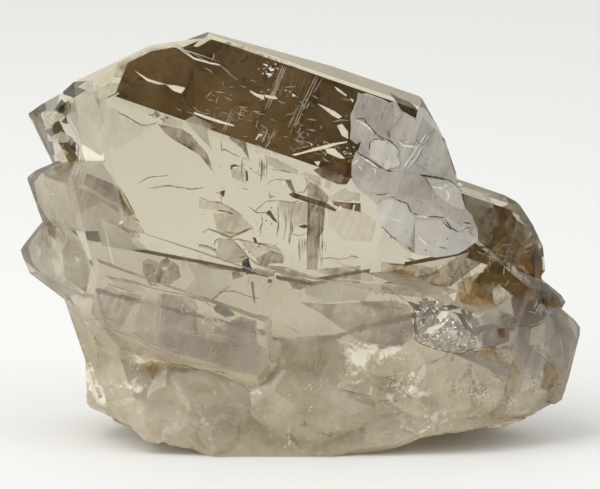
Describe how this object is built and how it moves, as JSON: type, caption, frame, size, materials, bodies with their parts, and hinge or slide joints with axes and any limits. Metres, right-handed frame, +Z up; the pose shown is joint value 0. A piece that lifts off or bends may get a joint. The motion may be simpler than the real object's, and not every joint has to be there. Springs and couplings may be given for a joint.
{
  "type": "smoky quartz crystal",
  "caption": "Flat group of parallel, clear smoky quartz crystals with pointed ends, standing on a broken milky base.",
  "frame": {"origin": "middle of the bounding box's underside, level with the flat rest", "axes": "+X along the plate's length to the right as seen from the front, +Y back through the plate, +Z up"},
  "size_m": [0.081, 0.037, 0.0598],
  "materials": {
    "smoky_quartz": "polished by growth, satin and milky where broken"
  },
  "bodies": {
    "root": {"smoky_quartz_crystal": "smoky_quartz"}
  },
  "joints": []
}
